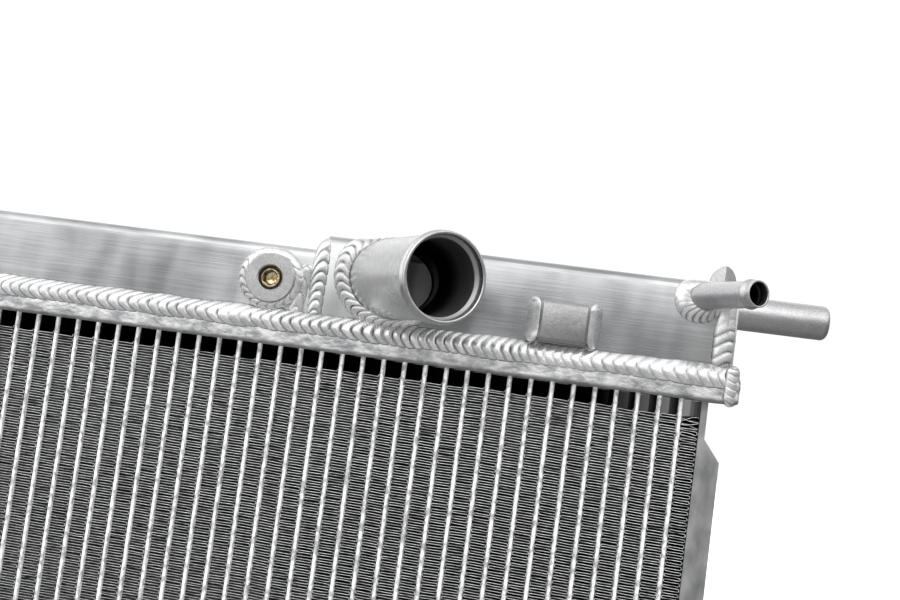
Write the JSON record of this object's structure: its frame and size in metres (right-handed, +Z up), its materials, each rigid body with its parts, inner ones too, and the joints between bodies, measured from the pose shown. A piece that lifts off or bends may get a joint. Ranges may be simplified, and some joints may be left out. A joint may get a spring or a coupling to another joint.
{
  "type": "car radiator",
  "caption": "Welded aluminium car radiator: stepped upper tank, flat-tube core, angled hose neck, bleed nipple, brass plug, mounting block and side pegs.",
  "frame": {"origin": "middle of the flat underside of the lower tank, on the surface that the radiator stands on", "axes": "+Z up along the tubes, +X along the tanks towards the bleed nipple, -Y out of the front, where the hose necks point"},
  "size_m": [0.482, 0.1086, 0.4518],
  "materials": {
    "tube_aluminium": "bright brazed aluminium, semi-gloss",
    "header_aluminium": "pressed aluminium with a rough whitish surface",
    "tank_aluminium": "lengthwise brushed satin aluminium",
    "neck_aluminium": "turned satin aluminium",
    "fitting_aluminium": "machined aluminium",
    "channel_aluminium": "mill-finish aluminium sheet",
    "weld_aluminium": "bright rippled weld bead",
    "fin_aluminium": "thin rolled fin foil, mid grey",
    "brass": "machined brass",
    "rubber": "black rubber"
  },
  "bodies": {
    "radiator": {"tube_01": "tube_aluminium", "tube_02": "tube_aluminium", "tube_03": "tube_aluminium", "tube_04": "tube_aluminium", "tube_05": "tube_aluminium", "tube_06": "tube_aluminium", "tube_07": "tube_aluminium", "tube_08": "tube_aluminium", "tube_09": "tube_aluminium", "tube_10": "tube_aluminium", "tube_11": "tube_aluminium", "tube_12": "tube_aluminium", "tube_13": "tube_aluminium", "tube_14": "tube_aluminium", "tube_15": "tube_aluminium", "tube_16": "tube_aluminium", "tube_17": "tube_aluminium", "tube_18": "tube_aluminium", "tube_19": "tube_aluminium", "tube_20": "tube_aluminium", "tube_21": "tube_aluminium", "tube_22": "tube_aluminium", "tube_23": "tube_aluminium", "tube_24": "tube_aluminium", "tube_25": "tube_aluminium", "tube_26": "tube_aluminium", "tube_27": "tube_aluminium", "tube_28": "tube_aluminium", "tube_29": "tube_aluminium", "tube_30": "tube_aluminium", "tube_31": "tube_aluminium", "tube_32": "tube_aluminium", "tube_33": "tube_aluminium", "tube_34": "tube_aluminium", "tube_35": "tube_aluminium", "tube_36": "tube_aluminium", "upper_header": "header_aluminium", "lower_header": "header_aluminium", "upper_tank_main": "tank_aluminium", "upper_tank_side_chamber": "tank_aluminium", "tank_step_plate": "tank_aluminium", "lower_tank": "tank_aluminium", "upper_end_cap_right": "tank_aluminium", "upper_end_cap_left": "tank_aluminium", "lower_end_cap_right": "tank_aluminium", "lower_end_cap_left": "tank_aluminium", "side_channel_right": "channel_aluminium", "side_channel_left": "channel_aluminium", "inlet_neck": "neck_aluminium", "outlet_neck": "neck_aluminium", "plug_bung": "fitting_aluminium", "mounting_block": "fitting_aluminium", "bleed_nipple": "fitting_aluminium", "upper_peg_right": "fitting_aluminium", "upper_peg_left": "fitting_aluminium", "lower_peg_right": "fitting_aluminium", "lower_peg_left": "fitting_aluminium", "corner_lug": "fitting_aluminium"},
    "plug_seal": {"plug_ring": "rubber"},
    "plug": {"brass_plug": "brass"}
  },
  "joints": [
    {"name": "plug_travel", "type": "slide", "parent": "radiator", "child": "plug_seal", "axis": [0, -1, 0], "range_m": [0, 0.0076]},
    {"name": "plug_turn", "type": "hinge", "parent": "plug_seal", "child": "plug", "pos_m": [-0.0215, -0.0308, 0.4192], "axis": [0, -1, 0], "range_deg": [0, 2700]}
  ],
  "couplings": [
    {"joint": "plug_travel", "follows": "plug_turn", "m_per_rad": 0.00015915}
  ]
}
